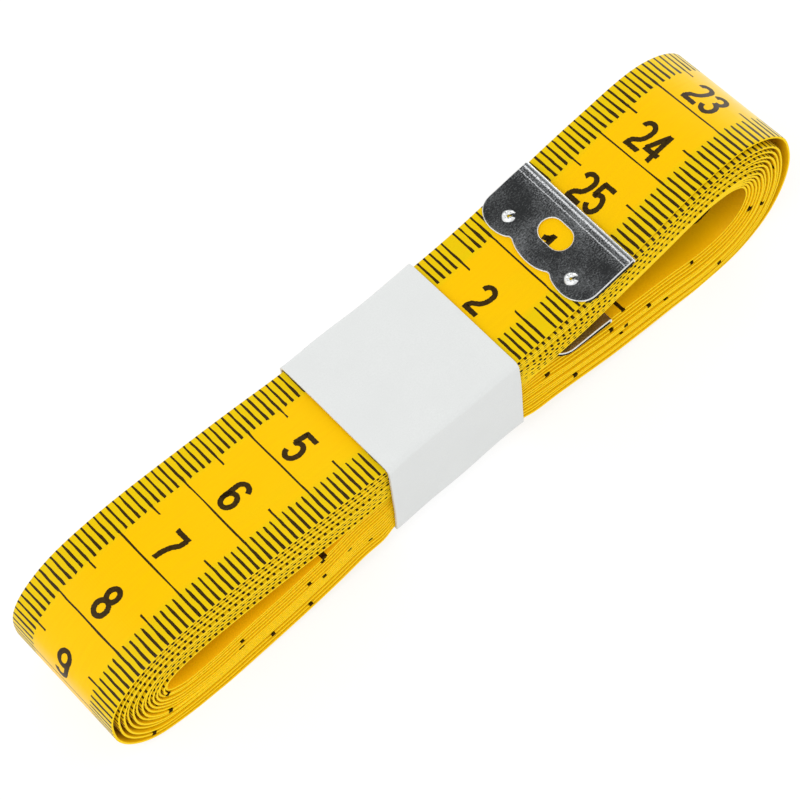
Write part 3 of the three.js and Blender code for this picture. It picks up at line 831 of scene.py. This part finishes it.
# painted shade: a dark material for the lower leaf's rim, standing in for the shadow under the top leaf
def grime_material():
    m, t, p = nodes_of("tip_painted_shade")
    fine = noise(t, along_uv(t, 3800, 3800), detail=4)
    t.links.new(ramp(t, fine, (0.3, srgb(26, 27, 18)), (0.7, srgb(58, 56, 40))), p.inputs["Base Color"])
    t.links.new(spread(t, fine, 0.3, 0.7, 0.6, 0.85), p.inputs["Roughness"])
    p.inputs["Specular IOR Level"].default_value = 0.1
    bumped = add(t, "ShaderNodeBump", {"Strength": 0.4, "Distance": 0.00003, "Height": fine})
    t.links.new(bumped.outputs[0], p.inputs["Normal"])
    return m


tip_painted_shade = grime_material()


def card_material():
    m, t, p = nodes_of("sleeve_card")
    coord = add(t, "ShaderNodeTexCoord").outputs["Object"]
    fibre = noise(t, coord, 5200, 5, 0.65)
    cloud = noise(t, coord, 160, 3)
    colour = ramp(t, fibre, (0.3, srgb(212, 214, 213)), (0.6, srgb(217, 219, 218)), (0.85, srgb(222, 224, 223)))
    colour = mixed(t, spread(t, cloud, 0.4, 0.7, 0, 0.5), colour, srgb(212, 214, 213))
    t.links.new(colour, p.inputs["Base Color"])
    t.links.new(spread(t, fibre, 0.3, 0.75, 0.62, 0.8), p.inputs["Roughness"])
    bumped = add(t, "ShaderNodeBump", {"Strength": 0.25, "Distance": 0.00003, "Height": fibre})
    t.links.new(bumped.outputs[0], p.inputs["Normal"])
    p.inputs["Specular IOR Level"].default_value = 0.3
    return m


def card_edge_material():
    m, t, p = nodes_of("sleeve_cut_edge")
    coord = add(t, "ShaderNodeTexCoord").outputs["Object"]
    fibre = noise(t, coord, 9000, 4, 0.7)
    t.links.new(ramp(t, fibre, (0.3, srgb(200, 200, 197)), (0.7, srgb(220, 220, 217))), p.inputs["Base Color"])
    t.links.new(spread(t, fibre, 0.3, 0.7, 0.8, 0.95), p.inputs["Roughness"])
    bumped = add(t, "ShaderNodeBump", {"Strength": 0.5, "Distance": 0.00004, "Height": fibre})
    t.links.new(bumped.outputs[0], p.inputs["Normal"])
    return m


card, card_edge = card_material(), card_edge_material()

# ---------------------------------------------------------------- the tape, in pieces cut at the joints
FULL = [9.5, MARGIN, 9.0, 8.3, 7.6, 6.9, 6.2, 5.75, MM_TICK, 4.7, FIVE_TICK, 2.0]
FULL = [-v for v in FULL] + [0.0] + FULL[::-1]
PLAIN = [9.5, MARGIN, 7.6, MM_TICK, FIVE_TICK]
PLAIN = [-v for v in PLAIN] + [0.0] + PLAIN[::-1]

CUT_B, CUT_A, CUT_TURN = 14.0, 24.2, 252.0
CUT_IN = float(np.interp(4.6, PATH[-900:, 0], S_PATH[-900:]))

# the numbers as (text, scale place, width place, on the printed face)
NUMBERS = [(str(n), 10 * n - 3.2, 0.45 if n == 25 else 0.0, True) for n in range(1, 28)]
NUMBERS += [("119", 20.4, 0.0, False), ("0", 2907.1, -4.88, False)]


def cloth_piece(name, s0, s1, rows, between, marks=()):
    base = strip(s0, s1, rows, between, marks)
    inside = [q for q in NUMBERS if s0 < q[1] < s1]
    parts = [with_numbers(base, inside)]
    for v, how in MARKS_AT.items():
        if s0 + 0.8 < v < s1 - 0.8 and how:
            grown = 0.22 if how == 2 else 0.10
            low, high = (-CLOTH - grown, grown * 0.55) if how < 3 else (-CLOTH - 0.05, -CLOTH + 0.06)
            parts.append(blots(v, 0.26 if how == 1 else 0.30, low, high))
    verts, faces, index, uv = joined(parts)
    obj = new_object(name, verts, faces, CLOTH_SLOTS, index, uv)
    return obj


# the inch ticks on the reverse that show where the turns part (how strong: 2 has run over the cut edge,
# 1 a little, 3 only at its corner, 0 not), and those under the two loose ends
MARKS_AT = {
    348.0: 2, 373.5: 2, 425.0: 0, 610.3: 2, 661.8: 2, 865.5: 3, 926.1: 2, 943.7: 0, 1374.0: 0, 1381.8: 0,
    1401.1: 1, 1524.9: 2, 1773.4: 2, 1777.9: 3, 1825.1: 2, 1856.4: 0, 1965.4: 0, 1979.7: 0, 2049.1: 1,
    2207.5: 1, 2247.7: 2, 2259.0: 2, 2284.7: 2, 2409.5: 1, 2695.4: 1, 2812.6: 2, 2838.5: 2, 2889.6: 1,
    3041.7: 2,
}  # fmt: skip
marks = [(v - 0.3, v + 0.3, how in (1, 2)) for v, how in MARKS_AT.items() if v != 2889.6]
marks.append((2889.05, 2889.95, True))
marks += [(v - 0.3, v + 0.3, False) for v in (17.9, 43.3, S_END - 14.6, S_END - 40.0)]


def marks_in(s0, s1):
    return sorted(m for m in marks if s0 + 0.8 < m[0] and m[1] < s1 - 0.8)


free_b = cloth_piece("tape_loose_end", 0.35, CUT_B, FULL, (0.5,), marks_in(0.35, CUT_B))
free_a = cloth_piece("tape_loose_run", CUT_B, CUT_A, FULL, (0.5,), marks_in(CUT_B, CUT_A))
first_turn = cloth_piece("tape_first_turn", CUT_A, CUT_TURN, FULL, (0.5,), marks_in(CUT_A, CUT_TURN))
inner_turns = cloth_piece("tape_inner_turns", CUT_TURN, CUT_IN, PLAIN, (), marks_in(CUT_TURN, CUT_IN))
inner_end = cloth_piece("tape_inner_end_run", CUT_IN, S_END - 0.02, PLAIN, (0.5,), marks_in(CUT_IN, S_END))

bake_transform(free_b)
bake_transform(free_a)
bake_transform(inner_end)
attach(first_turn, "roll")
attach(inner_turns, "roll")
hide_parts("tape_free_end_b")
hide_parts("tape_free_end_a")
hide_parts("tape_coil")
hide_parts("tape_coil")
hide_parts("tape_inner_end")


# ---------------------------------------------------------------- card sleeve
def sleeve():
    """One strip of thin card folded round the roll; its ends lap under the roll."""
    r, rb = 0.75, 0.34
    w, zb, zt = SLEEVE_HALF - 0.04, 3.74, SLEEVE_Z[1] - 0.02
    lap = 3.4
    q = []

    def wall(a, b, bow, n):
        v = np.linspace(0, 1, n)
        a, b = np.array(a, float), np.array(b, float)
        d = (b - a) / np.linalg.norm(b - a)
        out = np.array([-d[1], d[0]])
        p = a + (b - a) * v[:, None] + out * (bow * np.sin(np.pi * v) ** 0.8)[:, None]
        q.extend(p[1:-1] if q else p[:-1])

    def corner(cy, cz, a0, a1, radius=r):
        q.extend(arc(cy, cz, radius, radius, a0, a1, 9))

    # seen from the left end: under the roll, up the front, over the top, down the back, under again
    wall((lap, zb), (-w + rb, zb), -0.05, 26)
    corner(-w + rb, zb + rb, 270, 180, rb)
    wall((-w, zb + rb), (-w, zt - r), 0.12, 26)
    corner(-w + r, zt - r, 180, 90)
    wall((-w + r, zt), (w - r, zt), 0.10, 34)
    corner(w - r, zt - r, 90, 0)
    wall((w, zt - r), (w, zb + rb), 0.12, 26)
    corner(w - rb, zb + rb, 0, -90, rb)
    wall((w - rb, zb), (-lap, zb), 0.02, 26)
    q = np.array(q)
    at = np.concatenate([[0], np.cumsum(np.linalg.norm(np.diff(q, axis=0), axis=1))])
    t = np.gradient(q, at, axis=0)
    t /= np.linalg.norm(t, axis=1)[:, None]
    out = np.stack([-t[:, 1], t[:, 0]], 1)
    # the last flap lies under the first one
    step = (CARD + 0.05) * smooth((at - (at[-1] - 2 * lap - 2.5)) / 2.0)
    xs = np.linspace(SLEEVE_X[0] + 0.1, SLEEVE_X[1] - 0.1, 23)
    nx, nq = len(xs), len(q)
    S, X = np.meshgrid(at, xs)
    soft = 0.05 * np.sin(0.21 * S + 0.33 * X) + 0.035 * np.sin(0.47 * S - 0.52 * X + 1.1)
    edge = np.minimum(np.abs(X - SLEEVE_X[0]), np.abs(X - SLEEVE_X[1]))
    soft = soft + 0.10 * np.exp(-edge / 1.4) * (0.6 + 0.4 * np.sin(0.3 * S))  # the open edges spring out a little
    verts, uv = [], []
    for depth in (0.0, -CARD):
        move = (step + soft + depth)[..., None]
        p = q[None] + out[None] * move
        wave = 0.05 * np.sin(0.16 * S + (0.7 if depth else 0.6)) * (np.abs(X + 1.4) / 10.7) ** 3
        # cut a little askew: its left end reaches lower and further out at the bottom
        low = smooth((9.0 - p[..., 1]) / 5.0)
        left_low = low * smooth((-5.0 - X) / 6.5)
        sag = 0.14 * (X + 1.4) / 10.7 * low - 0.14 * left_low
        wave = wave - 0.22 * low * smooth((-6.0 - X) / 6.0) * smooth((-p[..., 0] - 6.0) / 3.0)
        y = p[..., 0] - 0.09 * left_low * smooth((-p[..., 0] - 6.0) / 3.0)
        verts.append(np.stack([X + wave, y, p[..., 1] + sag], -1).reshape(-1, 3))
        uv.append(np.stack([S, X + (40 if depth else 0)], -1).reshape(-1, 2))
    n = nx * nq
    O, I = np.arange(n).reshape(nx, nq), n + np.arange(n).reshape(nx, nq)
    faces, index = [], []
    for i in range(nx - 1):
        for j in range(nq - 1):
            faces.append((O[i, j], O[i, j + 1], O[i + 1, j + 1], O[i + 1, j]))
            faces.append((I[i, j], I[i + 1, j], I[i + 1, j + 1], I[i, j + 1]))
            index += [0, 0]
        for j, turn in ((0, 1), (nq - 1, -1)):
            f = (O[i, j], O[i + 1, j], I[i + 1, j], I[i, j])
            faces.append(f if turn > 0 else f[::-1])
            index.append(1)
    for j in range(nq - 1):
        faces.append((O[0, j + 1], O[0, j], I[0, j], I[0, j + 1]))
        faces.append((O[-1, j], O[-1, j + 1], I[-1, j + 1], I[-1, j]))
        index += [1, 1]
    faces = [tuple(int(v) for v in f) for f in faces]
    return new_object(
        "card_sleeve", np.vstack(verts) * MM, faces, [card, card_edge], index, np.vstack(uv) * MM, 50
    )


card_sleeve = sleeve()
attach(card_sleeve, "sleeve")
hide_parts("paper_sleeve")

# ---------------------------------------------------------------- sheet-metal tips
SHEET = 0.28
INNER_R = CLOTH / 2 + 0.015
MID_R = INNER_R + SHEET / 2
OUT_R = INNER_R + SHEET
ROUND = math.pi * MID_R  # length of the fold along its middle line
LEAF = 10.1 - OUT_R
TIP_HALF = 9.93


def tip_outline():
    """Half of the unfolded outline, from the fold to the lobes, as (along, across) going from -y to +y."""
    h = TIP_HALF
    # cubic pieces: corner, lobe, cusp, middle lobe and back
    def curve(p0, p1, p2, n=9):
        v = np.linspace(0, 1, n)[:, None]
        p0, p1, p2 = (np.array(p, float) for p in (p0, p1, p2))
        return (1 - v) ** 2 * p0 + 2 * v * (1 - v) * p1 + v**2 * p2

    half = np.vstack(
        [
            curve((6.7, h), (8.5, h - 0.05), (9.3, 8.1)),
            curve((9.3, 8.1), (9.66, 7.2), (9.6, 6.3))[1:],
            curve((9.6, 6.3), (9.5, 4.75), (8.92, 4.0))[1:],
            curve((8.92, 4.0), (8.7, 3.75), (8.84, 3.35), 6)[1:],
            curve((8.84, 3.35), (9.64, 1.9), (9.64, 0.0))[1:],
        ]
    )
    other = half[::-1][1:] * (1, -1)
    full = np.vstack([half, other])  # +y to -y
    # the cusp on the -y side sits a little nearer the middle
    full[:, 1] += 0.34 * np.exp(-(((full[:, 1] + 3.9) / 1.6) ** 2))
    return full


def plate(holes, low_size=0.995):
    """The unfolded plate as a mesh in millimetres: along x from the top leaf's lobes (negative) to the
    bottom leaf's, across y, thickness in z; its rims are rounded."""
    lobes = tip_outline()
    top = np.stack([-(lobes[:, 0] - OUT_R), lobes[:, 1]], 1)  # +y to -y on the top leaf
    low = np.stack([ROUND + (lobes[::-1, 0] - OUT_R) - 0.12, lobes[::-1, 1] * low_size], 1)
    loops = [np.vstack([top, low])] + holes
    cu = bpy.data.curves.new("plate", "CURVE")
    cu.dimensions, cu.fill_mode = "2D", "BOTH"
    rim = 0.125
    cu.extrude, cu.bevel_depth, cu.bevel_resolution, cu.offset = SHEET / 2 - rim, rim, 2, -rim
    for loop in loops:
        sp = cu.splines.new("POLY")
        sp.points.add(len(loop) - 1)
        for pt, (x, y) in zip(sp.points, loop):
            pt.co = (x, y, 0, 1)
        sp.use_cyclic_u = True
    o = bpy.data.objects.new("plate", cu)
    bpy.context.scene.collection.objects.link(o)
    bpy.context.view_layer.update()
    mesh = bpy.data.meshes.new_from_object(o.evaluated_get(bpy.context.evaluated_depsgraph_get()))
    bpy.data.objects.remove(o)
    bpy.data.curves.remove(cu)
    bm = bmesh.new()
    bm.from_mesh(mesh)
    bpy.data.meshes.remove(mesh)
    bmesh.ops.remove_doubles(bm, verts=bm.verts, dist=1e-4)
    bmesh.ops.recalc_face_normals(bm, faces=bm.faces)
    cuts = list(np.linspace(0, ROUND, 13)) + [-0.3 * i for i in range(1, 33)] + [ROUND + 0.6 * i for i in range(1, 16)]
    for x in cuts:
        geom = bm.verts[:] + bm.edges[:] + bm.faces[:]
        bmesh.ops.bisect_plane(bm, geom=geom, dist=1e-5, plane_co=(x, 0, 0), plane_no=(1, 0, 0))
    for y in np.arange(-9.0, 9.1, 0.6):
        geom = bm.verts[:] + bm.edges[:] + bm.faces[:]
        bmesh.ops.bisect_plane(bm, geom=geom, dist=1e-5, plane_co=(0, y, 0), plane_no=(0, 1, 0))
    bmesh.ops.triangulate(bm, faces=[f for f in bm.faces if len(f.verts) > 4])
    bm.verts.ensure_lookup_table()
    verts = np.array([v.co for v in bm.verts])
    faces = [tuple(v.index for v in f.verts) for f in bm.faces]
    flat = np.array([abs(f.normal.z) for f in bm.faces])
    bm.free()
    return verts, faces, flat


def wrapped(a, b, h):
    """The folded place of an unfolded point: fold edge at x 0, lobes towards -x, middle of the tape at z 0."""
    turn = np.clip(a, 0, ROUND) / MID_R
    rad = MID_R + h
    x = -OUT_R + rad * np.sin(turn) + np.where(a < 0, a, 0) - np.where(a > ROUND, a - ROUND, 0)
    return np.stack([x, b, rad * np.cos(turn)], -1)


def crimp(a0, b0, spin, hole=0.20):
    """A pierced crimp: the metal is pushed out round a small hole, splayed in petals and torn at one side."""
    n = 96
    rings = np.array(
        [[0.0, -0.20], [0.0, 0.04], [0.10, 0.20], [0.26, 0.30], [0.46, 0.30], [0.66, 0.19], [0.84, 0.03], [0.90, -0.05]]
    )
    th = np.linspace(0, 2 * np.pi, n, endpoint=False)
    petal = 0.5 + 0.5 * np.cos(4 * (th - spin) + np.pi)
    off = (th - spin + np.pi) % (2 * np.pi) - np.pi
    tear = np.exp(-((off / 0.34) ** 2))
    verts, uv = [], []
    for f, h in rings:
        r = hole * (1 - 0.2 * petal + 1.5 * tear) + (1.0 - hole) * f / 0.90 * (0.86 + 0.14 * petal)
        lift = h * (0.62 + 0.38 * petal) * (1 - tear) - 0.12 * tear if h > 0 else np.full(n, h)
        a, b = a0 + r * np.cos(th), b0 + r * np.sin(th)
        verts.append(wrapped(a, b, SHEET / 2 + lift))
        uv.append(np.stack([a, b], 1))
    m = len(rings)
    idx = np.arange(m * n).reshape(m, n)
    faces = [
        (int(idx[r, j]), int(idx[r + 1, j]), int(idx[r + 1, (j + 1) % n]), int(idx[r, (j + 1) % n]))
        for r in range(m - 1)
        for j in range(n)
    ]
    # closed below, inside the sheet
    faces += [
        (int(idx[m - 1, j]), int(idx[0, j]), int(idx[0, (j + 1) % n]), int(idx[m - 1, (j + 1) % n])) for j in range(n)
    ]
    # the petals take the near-white metal as a painted highlight; the torn side keeps the plain sheet
    torn = [0 if abs(off[j]) < 0.40 and 1 <= r < m - 2 else 1 for r in range(m - 1) for j in range(n)] + [1] * n
    return np.vstack(verts), faces, torn, np.vstack(uv)


def ring_of(a0, b0, ra, rb, n=36):
    th = np.linspace(0, 2 * np.pi, n, endpoint=False)
    return np.stack([a0 + ra * np.cos(th), b0 + rb * np.sin(th)], 1)


def slot_loop(a0, b0, width, length, n=14):
    r = width / 2
    c = length / 2 - r
    up = np.radians(np.linspace(0, 180, n))
    return np.vstack(
        [
            np.stack([a0 + r * np.cos(up), b0 + c + r * np.sin(up)], 1),
            np.stack([a0 - r * np.cos(up), b0 - c - r * np.sin(up)], 1),
        ]
    )


def tip(name, place, shift_y, crimps, slot, skew=0.0, low_size=0.995, face=None):
    k = lambda along: -(along - OUT_R)
    holes = [slot_loop(k(slot[0]), slot[1], slot[2], slot[3])]
    holes += [ring_of(k(a), b, 0.40, 0.40) for a, b, _ in crimps]
    verts, faces, flat = plate(holes, low_size)
    a, b, h = verts.T
    # handled sheet is never quite flat
    wave = 0.03 * np.sin(0.9 * a + 0.35 * b) * smooth(-a / 2.0) + 0.035 * np.sin(0.55 * b + 0.8) * smooth(-a / 4.0)
    for ca, cb, _ in crimps:
        away = np.hypot(a - k(ca), b - cb)
        wave = wave - 0.06 * np.exp(-((away / 1.6) ** 2)) * (a < 0)
    wave = np.where(a < 0, wave, 0.0)
    # the rim faces take the near-white metal: painted highlight
    rim = np.where(flat > 0.97, 0, 1)
    # painted shade: the rim of the lower leaf gets a dark material, standing in for the shadow under the top leaf
    under = np.array([a[list(f)].mean() for f in faces]) > ROUND * 0.75
    rim[(rim == 1) & under] = 2
    parts = [(wrapped(a, b, h + wave), faces, list(rim), np.stack([a, b], 1))]
    for ca, cb, spin in crimps:
        v, f, torn, uv = crimp(k(ca), cb, spin)
        v = v - (0, 0, 0.05)
        parts.append((v, f, torn, uv))
    verts, faces, index, uv = joined(parts)
    m = np.array(place, float)
    verts = verts + np.stack([skew * verts[:, 1], 0 * verts[:, 1] + shift_y, 0 * verts[:, 1]], 1)
    verts = verts @ m[:3, :3].T + m[:3, 3]
    obj = new_object(name, verts * MM, faces, [face or tip_face, tip_rim, tip_painted_shade], index, uv * MM, 28)
    return obj


def tilted(slope, x, z):
    c, s = math.cos(slope), math.sin(slope)
    return [[c, 0, -s, x], [0, 1, 0, 0], [s, 0, c, z], [0, 0, 0, 1]]


outer_tip = tip(
    "outer_tip",
    tilted(FREE_SLOPE, FOLD[0] - 0.2, FOLD[1] - 0.17 * math.cos(FREE_SLOPE)),
    -0.17,
    [(6.92, 6.04, -0.75), (7.35, -5.99, -0.75)],
    (4.53, -0.17, 3.36, 4.98),
    0.0164,
)
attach(outer_tip, "free_end_b")
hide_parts("outer_end_tip")

inner_tip = tip(
    "inner_tip",
    tilted(INNER_SLOPE, INNER_FOLD[0], INNER_FOLD[1] - 0.15 * math.cos(INNER_SLOPE)),
    -0.15,
    [(7.2, 6.05, 1.9), (7.3, -6.1, 4.2)],
    (5.05, 0.05, 3.3, 4.9),
    low_size=0.984,
    face=inner_tip_face,
)
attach(inner_tip, "inner_end")
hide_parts("inner_end_tip")

# ---------------------------------------------------------------- floor, light and camera
m, t, p = nodes_of("pale_floor")
coord = add(t, "ShaderNodeTexCoord").outputs["Object"]
t.links.new(
    ramp(t, noise(t, coord, 40, 3), (0.3, (0.26, 0.26, 0.26)), (0.7, (0.28, 0.28, 0.28))), p.inputs["Base Color"]
)
# a light table: its own even light washes out the contact shadow
p.inputs["Emission Color"].default_value = (1.0, 1.0, 1.0, 1.0)
p.inputs["Emission Strength"].default_value = 0.75
p.inputs["Roughness"].default_value = 0.9
p.inputs["Specular IOR Level"].default_value = 0.1
bpy.ops.mesh.primitive_plane_add(size=3.0)
floor = bpy.context.object
floor.name = "floor"
floor.location.z = -0.00003
floor.data.materials.append(m)

world = bpy.data.worlds.new("studio")
bpy.context.scene.world = world
world.use_nodes = True
t = world.node_tree
back = t.nodes["Background"]
direction = add(t, "ShaderNodeTexCoord").outputs["Generated"]
unit = add(t, "ShaderNodeVectorMath", {0: direction}, operation="NORMALIZE").outputs[0]
toward = Vector((0.10, 0.36, 0.93)).normalized()
facing = add(t, "ShaderNodeVectorMath", {0: unit, 1: tuple(toward)}, operation="DOT_PRODUCT").outputs[1]
# soft white all round, with the dim gap between the softboxes overhead
level = ramp(t, facing, (0.0, (1.0, 1.0, 1.0)), (0.86, (1.0, 1.0, 1.0)), (0.96, (0.12, 0.12, 0.12)))
# and a little less light from low in front
low_front = add(t, "ShaderNodeVectorMath", {0: unit, 1: (-0.26, -0.93, 0.26)}, operation="DOT_PRODUCT").outputs[1]
fade = spread(t, low_front, 0.30, 0.95, 1.0, 0.80)
t.links.new(mixed(t, 1.0, level, fade, "MULTIPLY"), back.inputs["Color"])
back.inputs["Strength"].default_value = 1.16


def softbox(name, place, at, size, power, tint=(1, 1, 1)):
    light = bpy.data.lights.new(name, "AREA")
    light.shape, light.size, light.size_y = "RECTANGLE", size[0], size[1]
    light.energy, light.color = power, tint
    o = bpy.data.objects.new(name, light)
    bpy.context.scene.collection.objects.link(o)
    o.location = place
    o.rotation_euler = (Vector(at) - Vector(place)).to_track_quat("-Z", "Y").to_euler()
    return o


softbox("key", (-0.28, -0.10, 0.55), (0, 0, 0.01), (0.35, 0.35), 0.9)
softbox("rim", (0.37, 0.17, 0.075), (0.05, 0, 0.015), (0.30, 0.12), 0.42)

c, s = math.cos(math.radians(0.584)), math.sin(math.radians(0.584))
az, el, roll_angle = math.radians(-34.46609806), math.radians(60.68729974), math.radians(-8.18437918)
away = Vector((math.sin(az) * math.cos(el), -math.cos(az) * math.cos(el), math.sin(el)))
right = (-away).cross(Vector((0, 0, 1))).normalized()
up = right.cross(-away)
img_x = right * math.cos(roll_angle) + up * math.sin(roll_angle)
img_up = up * math.cos(roll_angle) - right * math.sin(roll_angle)
tx, ty, dist = -0.52132168, -3.72406767, math.exp(5.91538285)
place = img_x * -tx + img_up * ty + away * dist
turn = Matrix(((c, 0, s), (0, 1, 0), (-s, 0, c)))
cam_data = bpy.data.cameras.new("camera")
cam = bpy.data.objects.new("camera", cam_data)
bpy.context.scene.collection.objects.link(cam)
basis = Matrix((turn @ img_x, turn @ img_up, turn @ away)).transposed().to_4x4()
basis.translation = (turn @ place + Vector((-1.90, 0, 18.42))) * MM
cam.matrix_world = basis
cam_data.sensor_width = 36
cam_data.lens = math.exp(8.01850968) / 800 * 36
cam_data.clip_start, cam_data.clip_end = 0.01, 10
bpy.context.scene.camera = cam
bpy.context.scene.view_settings.view_transform = "Standard"
